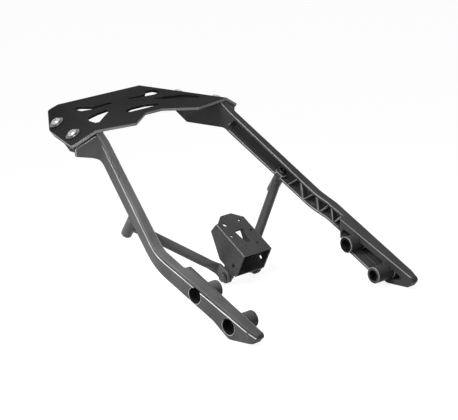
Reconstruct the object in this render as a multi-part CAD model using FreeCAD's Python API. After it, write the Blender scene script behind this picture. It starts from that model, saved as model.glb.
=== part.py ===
# Rear rack for a motorbike: two ribbed cast arms, a folded carrier plate, two struts and a box bracket.
import FreeCAD, Part
import math
import os
from FreeCAD import Vector

# Frame: X to the rider's right, Y forward, Z up, millimetres.
# The origin is on the carrier plate's flat top face, in the middle plane.

# Carrier plate: a flat panel between two slanting folds, and a flap beyond each fold
PLATE_T = 4.0
FOLD_REAR_X = 82.0
FOLD_REAR_Y = -95.0
FOLD_FRONT_X = 130.0
FOLD_FRONT_Y = 68.0
FLAP_FALL = 28.0
FLAP_WIDTH = 43.7
FLAP_REAR_WIDTH = 18.0
FLAP_OVERHANG = 4.0
FLAP_TAPER = 66.0
FLAP_FRONT_CUT = 4.0
HORN_X = 62.0
HORN_Y = 80.0
NOTCH_X = 16.0
NOTCH_Y = 44.0
PLATE_ROUND = 6.0
WINDOW_ROUND = 2.0

# Plate windows, as shares of the panel's front half width and of its length
REAR_WINDOW = (
    (0.12, -0.28), (0.4, -0.264), (0.508, -0.356), (0.631, -0.344),
    (0.615, -0.221), (0.477, -0.196), (0.138, -0.227),
)
SIDE_WINDOW = (
    (0.315, -0.092), (0.523, -0.055), (0.731, 0.012), (0.808, 0.11),
    (0.808, 0.21), (0.75, 0.21), (0.592, 0.104), (0.415, -0.006),
)
FRONT_WINDOW = ((0.1, 0.03), (0.262, 0.09), (0.231, 0.141))

# Plate fasteners, placed along the fold and down the flap
BOLT_D = 8.0
BOLT_HEAD_D = 15.0
BOLT_HEAD_H = 4.6
BOLT_REACH = 12.0
HEX_KEY = 5.0
HEX_DEPTH = 2.6
WASHER_D = 24.0
WASHER_T = 2.0
CLEAR_HOLE_D = 9.0
THREAD_CLEARANCE = 0.1
THREAD_RELIEF = 2.0
BOLT_REAR_ALONG = 60.5
BOLT_FRONT_ALONG = 134.0
BOLT_DOWN = 26.8

# Arms, side view: the top line, and depths below it
ARM_REAR_Y = -85.0
HEAD_DEPTH = 54.0
HEAD_REAR_DEPTH = 46.0
HEAD_BELLY_Y = -45.0
HEAD_FRONT_Y = 75.0
HEAD_FRONT_DEPTH = 46.0
HEAD_ROUND = 20.0
RUN_START_Y = 61.0
ELBOW_TOP_ROUND = 60.0
KNEE_Y = 247.0
KNEE_Z = -129.0
KNEE_RADIUS = 120.0
TIP_Y = 461.0
TIP_Z = -210.0
TIP_ROUND = 5.0
LOWER_KNEE_SETBACK = 13.0
RUN_DEPTH = 32.0
FOOT_REAR_SETBACK = 89.0
FOOT_REAR_DEPTH = 32.7
HEEL_SETBACK = 59.0
HEEL_DEPTH = 41.3
HEEL_ROUND = 14.0
TOE_SETBACK = 13.0
TOE_DEPTH = 19.0
TOE_ROUND = 8.0

# Arms, plan view: outer and inner faces
ARM_OUTER_REAR = 117.0
ARM_OUTER_ELBOW = 131.0
ELBOW_Y = 84.0
ELBOW_RADIUS = 60.0
ARM_OUTER_KNEE = 175.5
PLAN_KNEE_LEAD = 15.0
PLAN_RADIUS = 110.0
TOE_INSET = 11.5
TIP_INSET = 17.0
PLAN_TOE_SETBACK = 21.0
PLAN_TOE_RADIUS = 20.0
ARM_WIDTH = 13.0
ARM_KNEE_WIDTH = 16.5
LIP_WIDTH = 27.5
LIP_ROUND = 3.0
OUTER_ROUND = 2.5

# Channel, ribs and groove of the arms
WEB = 4.5
TOP_WALL = 4.5
LOWER_WALL = 4.0
FLOOR_WALL = 7.0
LIP_DEPTH = 12.0
POCKET_ROUND = 4.0
POCKET_GAP = 8.0
POCKET_SLANT = 6.0
POCKET_FRONT_SETBACK = 24.0
PARTITION_SETBACK = 34.0
PARTITION_SLANT = 9.5
CHANNEL_START_Y = 96.0
CHANNEL_RISE = 24.0
RIB_START_Y = 200.0
RIB_COUNT = 7
RIB_T = 3.2
RIB_LEAN = 10.0
RIB_END_GAP = 4.0
RIB_SETBACK = 2.0
GROOVE_DROP = 4.0
GROOVE_W = 2.2
GROOVE_DEPTH = 1.6

# Frame bosses on the arms
BOSS_D = 25.4
BORE_D = 10.5
BOSS_RECESS_D = 16.0
BOSS_RECESS_DEPTH = 8.0
COUNTERBORE_D = 23.0
COUNTERBORE_DEPTH = 12.0
COLLAR_WALL = 3.0
FRONT_BOSS_SETBACK = 58.0
FRONT_BOSS_DROP = 21.5
FRONT_BOSS_REACH = 28.0
REAR_BOSS_SETBACK = 124.0
REAR_BOSS_DROP = 17.0
REAR_BOSS_REACH = 20.0
SHELF_REACH = 14.0

# Arm head under the flap
PAD_T = 9.0
PAD_INSET = 1.5
PAD_REAR_ALONG = 14.0
PAD_INNER = 12.0
PAD_ROUND = 5.0
PAD_BOSS_D = 24.0
PAD_BOSS_L = 16.0
GUSSET_T = 5.0
GUSSET_FOOT = 10.0
FRONT_WEB_OUTER = 12.0
FRONT_WEB_INNER = 38.0

# Struts
TUBE_D = 15.0
TUBE_WALL = 2.0
STRUT_INSET = 7.0
STRUT_Y = 172.0
STRUT_JOIN = 15.0
STANDOFF_D = 17.0
STANDOFF_L = 36.0
STANDOFF_ROUND = 3.0
TAB_W = 21.0
TAB_T = 4.5
TAB_RUN = 17.0
PRESS_LENGTH = 24.0
PLUG_D = 11.0
PLUG_L = 7.0
PLUG_CLEARANCE = 0.05
SCREW_D = 6.0
SCREW_HEAD_D = 10.0
SCREW_HEAD_H = 5.5
SCREW_REACH = 6.5
SCREW_HOLE_D = 6.6
SCREW_BOSS_D = 19.0
SCREW_BOSS_H = 8.0
HEAD_ROOM = 1.0

# Box bracket, a along its top from the rear, b downwards
BOX_W = 57.0
BOX_L = 71.0
BOX_H = 44.0
BOX_T = 3.0
BOX_BEND = 4.0
BOX_TILT = 29.5
BOX_Y = 220.0
BOX_Z = -137.0
BOX_FRONT_LEAN = 1.5
BOX_REAR_LEAN = 4.0
BOX_REAR_B = 18.0
BOX_BELLY_A = 32.0
BOX_ROUND = 4.0
EDGE_ROUND = 2.0
APEX_LENGTH = 12.0
APEX_HALF = 10.5
LUG_A = 56.0
LUG_B = 57.0
WALL_HOLE_A = 60.0
WALL_HOLE_B = 31.0
WALL_HOLE_D = 7.0
TOP_WINDOW_REAR_A = 22.0
TOP_WINDOW_FRONT_A = 48.0
TOP_WINDOW_REAR_HALF = 9.0
TOP_WINDOW_FRONT_HALF = 5.0
HOLE_REAR_X = 15.0
HOLE_REAR_A = 5.5
HOLE_REAR_D = 6.6
HOLE_SIDE_X = 19.5
HOLE_SIDE_A = 29.0
HOLE_SIDE_D = 5.0
HOLE_FRONT_X = 12.0
HOLE_FRONT_A = 55.0
HOLE_FRONT_D = 4.2
NUT_FLATS = 13.0
NUT_H = 6.5
HEX_HEAD_H = 5.3

# Cutting tools reach past what they cut
FAR = 300.0
OVERSHOOT = 1.0

RIGHT = Vector(1, 0, 0)
UP = Vector(0, 0, 1)


def rounded_wire(points, radii):
    """Closed wire through the points with a tangent arc of the given radius at each corner."""
    count = len(points)
    edges = []
    corners = []
    for i, corner in enumerate(points):
        before = (points[i - 1] - corner).normalize()
        after = (points[(i + 1) % count] - corner).normalize()
        radius = radii[i]
        if radius == 0:
            corners.append((corner, corner, None))
            continue
        half = before.getAngle(after) / 2
        cut = radius / math.tan(half)
        middle = (before + after).normalize()
        arc_middle = corner + middle * (radius / math.sin(half) - radius)
        corners.append((corner + before * cut, corner + after * cut, arc_middle))
    for i in range(count):
        begin, end, arc_middle = corners[i]
        if arc_middle is not None:
            edges.append(Part.Arc(begin, arc_middle, end).toShape())
        following = corners[(i + 1) % count][0]
        if end.distanceToPoint(following) > 1e-6:
            edges.append(Part.LineSegment(end, following).toShape())
    return Part.Wire(edges)


def prism(points, radii, sweep):
    """Solid from a closed outline of points, swept along a vector."""
    return Part.Face(rounded_wire(points, radii)).extrude(sweep)


def sharp_prism(points, sweep):
    """Solid from a closed outline with sharp corners, swept along a vector."""
    return prism(points, [0] * len(points), sweep)


def side_prism(profile, x_low, x_high):
    """Solid between two X planes from (y, z, corner radius) points."""
    points = [Vector(x_low, y, z) for y, z, _ in profile]
    return prism(points, [r for _, _, r in profile], RIGHT * (x_high - x_low))


def plan_prism(profile, z_low, z_high):
    """Solid between two Z planes from (x, y, corner radius) points."""
    points = [Vector(x, y, z_low) for x, y, _ in profile]
    return prism(points, [r for _, _, r in profile], UP * (z_high - z_low))


def rod(start, direction, diameter, length):
    """Cylinder from a point along a direction."""
    return Part.makeCylinder(diameter / 2, length, start, direction)


def hexagon(start, direction, flats, height):
    """Hexagonal prism whose axis starts at a point."""
    corners = []
    for k in range(6):
        angle = math.radians(60 * k)
        corners.append(Vector(math.cos(angle), math.sin(angle), 0) * (flats / math.sqrt(3)))
    body = sharp_prism(corners, UP * height)
    body.Placement = FreeCAD.Placement(start, FreeCAD.Rotation(UP, direction))
    return body


def mirrored(shape):
    """The same piece on the rider's left."""
    return shape.mirror(Vector(0, 0, 0), RIGHT)


def both(shape):
    """A piece and its mirror image as one group."""
    return Part.makeCompound([shape, mirrored(shape)])


def between(y, y1, v1, y2, v2):
    """Value at y on the straight line through two points."""
    return v1 + (v2 - v1) * (y - y1) / (y2 - y1)


# Fold and flap on the right side, shared by the plate, the pads and their fasteners
FOLD_REAR = Vector(FOLD_REAR_X, FOLD_REAR_Y, 0)
FOLD_FRONT = Vector(FOLD_FRONT_X, FOLD_FRONT_Y, 0)
FOLD_LENGTH = FOLD_REAR.distanceToPoint(FOLD_FRONT)
PANEL_LENGTH = FOLD_FRONT_Y - FOLD_REAR_Y
ALONG = (FOLD_FRONT - FOLD_REAR).normalize()
OUTWARD = Vector(ALONG.y, -ALONG.x, 0)
FLAP_SIN = math.sin(math.radians(FLAP_FALL))
FLAP_COS = math.cos(math.radians(FLAP_FALL))
FLAP_DOWN = OUTWARD * FLAP_COS - UP * FLAP_SIN
FLAP_NORMAL = OUTWARD * FLAP_SIN + UP * FLAP_COS
BOLT_SPOTS = ((BOLT_REAR_ALONG, BOLT_DOWN), (BOLT_FRONT_ALONG, BOLT_DOWN))


def flap_point(along, down, drop=0.0):
    """Point on the right flap's top face, or below it along the flap's normal."""
    return FOLD_REAR + ALONG * along + FLAP_DOWN * down - FLAP_NORMAL * drop


def flap_prism(outline, drop, thickness):
    """Solid under the right flap from (along, down, corner radius) points."""
    points = [flap_point(s, d, drop) for s, d, _ in outline]
    return prism(points, [r for _, _, r in outline], FLAP_NORMAL * -thickness)


def flap_height(x, y, drop):
    """Height of the flap's plane at a place in plan, a distance below its top face."""
    out = (Vector(x, y, 0) - FOLD_REAR).dot(OUTWARD)
    return -(out * FLAP_SIN + drop) / FLAP_COS


def under_plate(drop):
    """Space below the plate's right half, a distance under its top face."""
    level = Part.makeBox(2 * FAR, 3 * FAR, FAR, Vector(-FAR, -FAR, -FAR - drop))
    reach = [(-FAR, -FAR, 0), (2 * FAR, -FAR, 0), (2 * FAR, FAR, 0), (-FAR, FAR, 0)]
    return level.common(flap_prism(reach, drop, 3 * FAR))


def window(shares):
    """Outline of a window in the panel from its shares."""
    return [(u * FOLD_FRONT_X, v * PANEL_LENGTH, WINDOW_ROUND) for u, v in shares]


def carrier_plate():
    """Folded sheet: flat panel with a front notch and windows, and a tapering flap on each side."""
    panel = [
        (0, FOLD_REAR_Y, 0),
        (FOLD_REAR_X, FOLD_REAR_Y, 0),
        (FOLD_FRONT_X, FOLD_FRONT_Y, 0),
        (HORN_X, HORN_Y, PLATE_ROUND),
        (NOTCH_X, NOTCH_Y, PLATE_ROUND),
        (0, NOTCH_Y, 0),
    ]
    flap = [
        (0, 0, 0),
        (-FLAP_OVERHANG, FLAP_REAR_WIDTH, PLATE_ROUND),
        (FLAP_TAPER, FLAP_WIDTH, PLATE_ROUND),
        (FOLD_LENGTH - FLAP_FRONT_CUT, FLAP_WIDTH, PLATE_ROUND),
        (FOLD_LENGTH, 0, 0),
    ]
    half = plan_prism(panel, -PLATE_T, 0).fuse(flap_prism(flap, 0, PLATE_T)).removeSplitter()
    nose = window(FRONT_WINDOW)
    nose = [(0, nose[0][1], 0)] + nose + [(0, nose[-1][1], 0)]
    for outline in (window(REAR_WINDOW), window(SIDE_WINDOW), nose):
        half = half.cut(plan_prism(outline, -FAR, FAR))
    for s, d in BOLT_SPOTS:
        half = half.cut(rod(flap_point(s, d, -PLATE_T), FLAP_NORMAL * -1, CLEAR_HOLE_D, 3 * PLATE_T))
    return half.fuse(mirrored(half)).removeSplitter()


def plate_washers():
    """Large washers on the flaps."""
    rings = []
    for s, d in BOLT_SPOTS:
        ring = rod(flap_point(s, d), FLAP_NORMAL, WASHER_D, WASHER_T)
        ring = ring.cut(rod(flap_point(s, d), FLAP_NORMAL, CLEAR_HOLE_D, WASHER_T))
        rings += [ring, mirrored(ring)]
    return Part.makeCompound(rings)


def plate_bolts():
    """Button-head bolts through the washers and the flaps into the arm pads."""
    bolts = []
    shank_d = BOLT_D - 2 * THREAD_CLEARANCE
    for s, d in BOLT_SPOTS:
        seat = flap_point(s, d, -WASHER_T)
        top = seat + FLAP_NORMAL * BOLT_HEAD_H
        head = rod(seat, FLAP_NORMAL, BOLT_HEAD_D, BOLT_HEAD_H)
        rim = [e for e in head.Edges if e.CenterOfMass.distanceToPoint(top) < BOLT_HEAD_H / 4]
        head = head.makeFillet(BOLT_HEAD_H * 0.8, rim)
        bolt = head.fuse(rod(seat, FLAP_NORMAL * -1, shank_d, WASHER_T + PLATE_T + BOLT_REACH))
        bolt = bolt.cut(hexagon(top - FLAP_NORMAL * HEX_DEPTH, FLAP_NORMAL, HEX_KEY, 2 * HEX_DEPTH))
        bolt = bolt.removeSplitter()
        bolts += [bolt, mirrored(bolt)]
    return Part.makeCompound(bolts)


# Arm lines shared by the blank, its pockets, the ribs and the groove
RUN_SLOPE = KNEE_Z / (KNEE_Y - RUN_START_Y)
RUN_COS = 1 / math.hypot(1, RUN_SLOPE)


def run_top(y):
    """Height of the arm's top line."""
    if y < KNEE_Y:
        return RUN_SLOPE * (y - RUN_START_Y)
    return between(y, KNEE_Y, KNEE_Z, TIP_Y, TIP_Z)


LOWER_KNEE_Y = KNEE_Y - LOWER_KNEE_SETBACK
LOWER_KNEE_Z = run_top(LOWER_KNEE_Y) - RUN_DEPTH
FOOT_REAR_Y = TIP_Y - FOOT_REAR_SETBACK
FOOT_REAR_Z = run_top(FOOT_REAR_Y) - FOOT_REAR_DEPTH
HEEL_Y = TIP_Y - HEEL_SETBACK
HEEL_Z = run_top(HEEL_Y) - HEEL_DEPTH
TOE_Y = TIP_Y - TOE_SETBACK
TOE_Z = run_top(TOE_Y) - TOE_DEPTH
LOW_DIRECTION = Vector(0, LOWER_KNEE_Y - HEAD_FRONT_Y, LOWER_KNEE_Z + HEAD_FRONT_DEPTH).normalize()
LOW_NORMAL = Vector(0, LOW_DIRECTION.z, -LOW_DIRECTION.y)
PLAN_KNEE_Y = KNEE_Y + PLAN_KNEE_LEAD
PLAN_TOE_Y = TIP_Y - PLAN_TOE_SETBACK
ARM_OUTER_TOE = ARM_OUTER_KNEE - TOE_INSET
LIP_X = ARM_OUTER_KNEE - LIP_WIDTH
FRONT_BOSS_Y = TIP_Y - FRONT_BOSS_SETBACK
FRONT_BOSS_Z = run_top(FRONT_BOSS_Y) - FRONT_BOSS_DROP
FRONT_BOSS_X = LIP_X - FRONT_BOSS_REACH
REAR_BOSS_Y = TIP_Y - REAR_BOSS_SETBACK
REAR_BOSS_Z = run_top(REAR_BOSS_Y) - REAR_BOSS_DROP
REAR_BOSS_X = LIP_X - REAR_BOSS_REACH
PARTITION_Y = REAR_BOSS_Y - PARTITION_SETBACK


def run_low(y):
    """Height of the arm's lower line."""
    if y < LOWER_KNEE_Y:
        return between(y, HEAD_FRONT_Y, -HEAD_FRONT_DEPTH, LOWER_KNEE_Y, LOWER_KNEE_Z)
    return between(y, LOWER_KNEE_Y, LOWER_KNEE_Z, FOOT_REAR_Y, FOOT_REAR_Z)


def outer_x(y):
    """Outer face of the arm in plan."""
    if y < ELBOW_Y:
        return between(y, ARM_REAR_Y, ARM_OUTER_REAR, ELBOW_Y, ARM_OUTER_ELBOW)
    if y < PLAN_KNEE_Y:
        return between(y, ELBOW_Y, ARM_OUTER_ELBOW, PLAN_KNEE_Y, ARM_OUTER_KNEE)
    return between(y, PLAN_KNEE_Y, ARM_OUTER_KNEE, PLAN_TOE_Y, ARM_OUTER_TOE)


def outer_line(inset):
    """Plan points of the arm's outer face, moved inwards."""
    return [
        (ARM_OUTER_REAR - inset, ARM_REAR_Y - OVERSHOOT, 0),
        (ARM_OUTER_ELBOW - inset, ELBOW_Y, ELBOW_RADIUS),
        (ARM_OUTER_KNEE - inset, PLAN_KNEE_Y, PLAN_RADIUS),
        (ARM_OUTER_TOE - inset, PLAN_TOE_Y, PLAN_TOE_RADIUS),
        (ARM_OUTER_KNEE - TIP_INSET - inset, TIP_Y + OVERSHOOT, 0),
    ]


def arm_side():
    """Side outline of the whole arm."""
    return [
        (ARM_REAR_Y, 0, 0),
        (RUN_START_Y, 0, ELBOW_TOP_ROUND),
        (KNEE_Y, KNEE_Z, KNEE_RADIUS),
        (TIP_Y, TIP_Z, TIP_ROUND),
        (TOE_Y, TOE_Z, TOE_ROUND),
        (HEEL_Y, HEEL_Z, HEEL_ROUND),
        (FOOT_REAR_Y, FOOT_REAR_Z, HEAD_ROUND),
        (LOWER_KNEE_Y, LOWER_KNEE_Z, KNEE_RADIUS),
        (HEAD_FRONT_Y, -HEAD_FRONT_DEPTH, HEAD_ROUND),
        (HEAD_BELLY_Y, -HEAD_DEPTH, HEAD_ROUND),
        (ARM_REAR_Y, -HEAD_REAR_DEPTH, PAD_ROUND),
    ]


def arm_plan():
    """Plan outline of the whole arm."""
    inner_knee = ARM_OUTER_KNEE - ARM_KNEE_WIDTH
    return outer_line(0) + [
        (LIP_X, TIP_Y + OVERSHOOT, 0),
        (LIP_X, PARTITION_Y, LIP_ROUND),
        (inner_knee, PARTITION_Y, LIP_ROUND),
        (inner_knee, PLAN_KNEE_Y, PLAN_RADIUS / 3),
        (ARM_OUTER_ELBOW - ARM_WIDTH, ELBOW_Y, ELBOW_RADIUS),
        (ARM_OUTER_REAR - ARM_WIDTH, ARM_REAR_Y - OVERSHOOT, 0),
    ]


def outer_top_edges(blank):
    """Edges past the elbow where the blank's top line meets its outer face."""
    chosen = []
    for edge in blank.Edges:
        parameter = (edge.FirstParameter + edge.LastParameter) / 2
        middle = edge.valueAt(parameter)
        way = edge.tangentAt(parameter)
        past_elbow = middle.y > ELBOW_Y + POCKET_SLANT
        upper = middle.z > (run_top(middle.y) + run_low(middle.y)) / 2
        outside = abs(middle.x - outer_x(middle.y)) < ARM_WIDTH / 5
        lengthways = abs(way.y) > 0.3 and abs(way.x) < 0.6
        if past_elbow and upper and outside and lengthways:
            chosen.append(edge)
    return chosen


def arm_blank():
    """Arm without its pockets: the side outline crossed with the plan outline, below the plate."""
    blank = side_prism(arm_side(), 0, FAR).common(plan_prism(arm_plan(), -FAR, FAR))
    blank = blank.common(under_plate(PLATE_T)).removeSplitter()
    return blank.makeFillet(OUTER_ROUND, outer_top_edges(blank))


def arm_pockets():
    """Open channel of the upper run and the pocket between the frame bosses."""
    start_low = CHANNEL_START_Y - CHANNEL_RISE * LOW_NORMAL.y / LOW_NORMAL.z
    end_low = PARTITION_Y - PARTITION_SLANT
    channel = [
        (CHANNEL_START_Y, run_top(CHANNEL_START_Y) - TOP_WALL / RUN_COS, POCKET_ROUND),
        (KNEE_Y, KNEE_Z - TOP_WALL / RUN_COS, KNEE_RADIUS),
        (PARTITION_Y, run_top(PARTITION_Y) - TOP_WALL, POCKET_ROUND),
        (end_low, run_low(end_low) + LOWER_WALL, POCKET_ROUND),
        (LOWER_KNEE_Y, LOWER_KNEE_Z + LOWER_WALL, KNEE_RADIUS),
        (start_low, run_low(start_low) + LOWER_WALL / RUN_COS, POCKET_ROUND),
    ]
    rear = PARTITION_Y + POCKET_GAP
    rear_low = rear - POCKET_SLANT
    front = TIP_Y - POCKET_FRONT_SETBACK
    front_top = front - POCKET_SLANT
    foot = [
        (rear, run_top(rear) - LIP_DEPTH, POCKET_ROUND),
        (front_top, run_top(front_top) - LIP_DEPTH, POCKET_ROUND),
        (front, TOE_Z + FLOOR_WALL, POCKET_ROUND),
        (HEEL_Y + LOWER_WALL, HEEL_Z + FLOOR_WALL, POCKET_ROUND),
        (FOOT_REAR_Y, FOOT_REAR_Z + LOWER_WALL, POCKET_ROUND),
        (rear_low, run_low(rear_low) + LOWER_WALL, POCKET_ROUND),
    ]
    inside = outer_line(WEB) + [(0, TIP_Y + OVERSHOOT, 0), (0, ARM_REAR_Y - OVERSHOOT, 0)]
    depth = plan_prism(inside, -FAR, FAR)
    return side_prism(channel, 0, FAR).common(depth), side_prism(foot, 0, FAR).common(depth)


def truss_ribs(channel):
    """Zig-zag ribs across the channel, each from one wall to the other."""
    step = (PARTITION_Y - RIB_END_GAP - RIB_START_Y) / RIB_COUNT
    ribs = []
    for k in range(RIB_COUNT):
        ends = (RIB_START_Y + k * step, RIB_START_Y + (k + 1) * step)
        upper = ends[1 - k % 2]
        lower = ends[k % 2] - RIB_LEAN
        top = Vector(0, upper, run_top(upper))
        low = Vector(0, lower, run_low(lower))
        rise = (top - low).normalize()
        across = Vector(0, rise.z, -rise.y) * (RIB_T / 2)
        ribs.append(sharp_prism([low - across, top - across, top + across, low + across], RIGHT * FAR))
    fan = ribs[0].multiFuse(ribs[1:]).common(channel)
    inner_knee = ARM_OUTER_KNEE - ARM_KNEE_WIDTH + RIB_SETBACK
    behind = [
        (ARM_OUTER_ELBOW - ARM_WIDTH + RIB_SETBACK, ELBOW_Y, 0),
        (inner_knee, PLAN_KNEE_Y, 0),
        (inner_knee, PARTITION_Y, 0),
        (FAR, PARTITION_Y, 0),
        (FAR, ELBOW_Y, 0),
    ]
    return fan.common(plan_prism(behind, -FAR, FAR))


def outer_groove():
    """Fine groove that runs along the outer face below the top edge."""
    line = [(ELBOW_Y, run_top(ELBOW_Y), 0), (KNEE_Y, KNEE_Z, KNEE_RADIUS), (TIP_Y, TIP_Z, 0)]
    band = [(y, z - GROOVE_DROP, r) for y, z, r in line]
    band += [(y, z - GROOVE_DROP - GROOVE_W, r) for y, z, r in reversed(line)]
    skin = [(ARM_OUTER_ELBOW - GROOVE_DEPTH, ELBOW_Y, 0)] + outer_line(GROOVE_DEPTH)[2:]
    skin += [(FAR, TIP_Y + OVERSHOOT, 0), (FAR, ELBOW_Y, 0)]
    return side_prism(band, 0, FAR).common(plan_prism(skin, -FAR, FAR))


def arm_head():
    """Sloping pad under the flap, its bolt bosses, and the gussets and front web that carry it."""
    edge = FLAP_WIDTH - PAD_INSET
    front = FOLD_LENGTH - PAD_INSET
    outline = [
        (PAD_REAR_ALONG, -PAD_INNER, 0),
        (PAD_REAR_ALONG, FLAP_REAR_WIDTH, PAD_ROUND),
        (FLAP_TAPER + PAD_INSET, edge, PAD_ROUND),
        (front - FLAP_FRONT_CUT, edge, PAD_ROUND),
        (front, -PAD_INNER, 0),
    ]
    pad = flap_prism(outline, PLATE_T, PAD_T)
    middle = PLATE_T + PAD_T / 2
    for s, d in BOLT_SPOTS:
        seat = flap_point(s, d, PLATE_T)
        pad = pad.fuse(rod(seat, FLAP_NORMAL * -1, PAD_BOSS_D, PAD_BOSS_L))
        y = seat.y - GUSSET_T / 2
        inner = outer_x(y) - ARM_WIDTH / 2
        outer = seat.x + PAD_BOSS_D / 2
        gusset = [
            Vector(inner, y, flap_height(inner, y, middle)),
            Vector(outer, y, flap_height(outer, y, middle)),
            Vector(inner, y, -HEAD_DEPTH + GUSSET_FOOT),
        ]
        pad = pad.fuse(sharp_prism(gusset, Vector(0, GUSSET_T, 0)))
    inner_top = flap_point(front, 0, middle)
    outer_top = flap_point(front - FLAP_FRONT_CUT, edge - PAD_INSET, middle)
    web = [inner_top, outer_top, outer_top - UP * FRONT_WEB_OUTER, inner_top - UP * FRONT_WEB_INNER]
    pad = pad.fuse(sharp_prism(web, ALONG * -GUSSET_T))
    beyond = [
        (ARM_OUTER_REAR - ARM_WIDTH, ARM_REAR_Y - OVERSHOOT, 0),
        (ARM_OUTER_ELBOW - ARM_WIDTH, ELBOW_Y, 0),
        (FAR, ELBOW_Y, 0),
        (FAR, ARM_REAR_Y - OVERSHOOT, 0),
    ]
    return pad.common(under_plate(PLATE_T)).common(plan_prism(beyond, -FAR, FAR))


def right_arm():
    """Cast arm: head, ribbed channel, foot with two frame bosses."""
    blank = arm_blank()
    channel, foot = arm_pockets()
    arm = blank.cut(channel).cut(foot)
    arm = arm.fuse(truss_ribs(channel))
    arm = arm.fuse(arm_head())
    seat = strut_seat()
    arm = arm.fuse(rod(seat, LOW_NORMAL * -1, SCREW_BOSS_D, SCREW_BOSS_H).common(blank))
    shelf_rear = REAR_BOSS_Z - BOSS_D / 2
    shelf_front = FRONT_BOSS_Z - BOSS_D / 2
    shelf = [
        (REAR_BOSS_Y, shelf_rear, 0),
        (REAR_BOSS_Y, shelf_rear + LOWER_WALL, 0),
        (FRONT_BOSS_Y, shelf_front + LOWER_WALL, 0),
        (FRONT_BOSS_Y, shelf_front, 0),
    ]
    arm = arm.fuse(side_prism(shelf, LIP_X - SHELF_REACH, LIP_X + WEB))
    collar_d = COUNTERBORE_D + 2 * COLLAR_WALL
    collar_l = COUNTERBORE_DEPTH + COLLAR_WALL - WEB / 2
    for y, z, tip in ((REAR_BOSS_Y, REAR_BOSS_Z, REAR_BOSS_X), (FRONT_BOSS_Y, FRONT_BOSS_Z, FRONT_BOSS_X)):
        end = Vector(tip, y, z)
        floor = Vector(outer_x(y) - COUNTERBORE_DEPTH, y, z)
        arm = arm.fuse(rod(floor - RIGHT * COLLAR_WALL, RIGHT, collar_d, collar_l).common(blank))
        arm = arm.fuse(rod(end, RIGHT, BOSS_D, floor.x - tip))
        arm = arm.cut(rod(end, RIGHT, BORE_D, FAR))
        arm = arm.cut(rod(end, RIGHT, BOSS_RECESS_D, BOSS_RECESS_DEPTH))
        arm = arm.cut(rod(floor, RIGHT, COUNTERBORE_D, FAR))
    for s, d in BOLT_SPOTS:
        arm = arm.cut(rod(flap_point(s, d, PLATE_T), FLAP_NORMAL * -1, BOLT_D, BOLT_REACH + THREAD_RELIEF))
    arm = arm.cut(rod(seat, LOW_NORMAL * -1, SCREW_HOLE_D, SCREW_BOSS_H))
    head_seat = seat - LOW_NORMAL * SCREW_BOSS_H
    arm = arm.cut(rod(head_seat, LOW_NORMAL * -1, SCREW_HEAD_D + HEAD_ROOM, SCREW_HEAD_H + HEAD_ROOM))
    return arm.cut(outer_groove()).removeSplitter()


def strut_seat():
    """Point under the arm where the strut's standoff meets it."""
    return Vector(outer_x(STRUT_Y) - STRUT_INSET, STRUT_Y, run_low(STRUT_Y))


def box_point(x, a, b):
    """Point of the box bracket, a along its top from the rear and b below it."""
    turn = FreeCAD.Rotation(RIGHT, -BOX_TILT)
    return Vector(0, BOX_Y, BOX_Z) + turn.multVec(Vector(x, a, -b))


def right_strut():
    """Hollow standoff under the arm, and a tube from it whose lower end is pressed flat against the lug."""
    seat = strut_seat()
    end = seat + LOW_NORMAL * STANDOFF_L
    standoff = rod(seat, LOW_NORMAL, STANDOFF_D, STANDOFF_L)
    rim = [e for e in standoff.Edges if e.CenterOfMass.distanceToPoint(end) < STANDOFF_ROUND]
    standoff = standoff.makeFillet(STANDOFF_ROUND, rim)
    join = seat + LOW_NORMAL * STRUT_JOIN
    hole = box_point(BOX_W / 2 + TAB_T / 2, LUG_A, LUG_B)
    forward = (box_point(0, 1, 0) - box_point(0, 0, 0)).normalize()
    downward = (box_point(0, 0, 1) - box_point(0, 0, 0)).normalize()
    tab_start = hole - forward * TAB_RUN
    along = (tab_start - join).normalize()
    press = tab_start - along * PRESS_LENGTH
    length = press.distanceToPoint(join)
    flat = []
    for u, v in ((-1, -1), (1, -1), (1, 1), (-1, 1)):
        flat.append(tab_start + RIGHT * (TAB_T / 2 * u) + downward * (TAB_W / 2 * v))
    flat_ring = Part.makePolygon(flat + flat[:1])
    circle = Part.Wire(Part.makeCircle(TUBE_D / 2, press, along))
    pressed = Part.makeLoft([circle, flat_ring], True)
    tab_side = hole - RIGHT * (TAB_T / 2)
    tab = Part.Face(flat_ring).extrude(hole - tab_start).fuse(rod(tab_side, RIGHT, TAB_W, TAB_T))
    tab = tab.cut(rod(tab_side, RIGHT, CLEAR_HOLE_D, TAB_T))
    strut = standoff.fuse(rod(join, along, TUBE_D, length)).fuse(pressed).fuse(tab)
    strut = strut.cut(rod(seat, LOW_NORMAL, PLUG_D + 2 * PLUG_CLEARANCE, STANDOFF_L - STANDOFF_ROUND))
    return strut.cut(rod(join, along, TUBE_D - 2 * TUBE_WALL, length)).removeSplitter()


def strut_plugs():
    """Threaded plugs in the upper ends of the standoffs."""
    seat = strut_seat()
    return both(rod(seat, LOW_NORMAL, PLUG_D, PLUG_L).cut(rod(seat, LOW_NORMAL, SCREW_D, PLUG_L)))


def strut_screws():
    """Socket screws inside the channels, through the arms into the plugs."""
    shank_d = SCREW_D - 2 * THREAD_CLEARANCE
    seat = strut_seat() - LOW_NORMAL * SCREW_BOSS_H
    head = rod(seat, LOW_NORMAL * -1, SCREW_HEAD_D, SCREW_HEAD_H)
    screw = head.fuse(rod(seat, LOW_NORMAL, shank_d, SCREW_BOSS_H + SCREW_REACH))
    socket = hexagon(seat - LOW_NORMAL * HEX_DEPTH, LOW_NORMAL * -1, HEX_KEY, SCREW_HEAD_H)
    return both(screw.cut(socket).removeSplitter())


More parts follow.
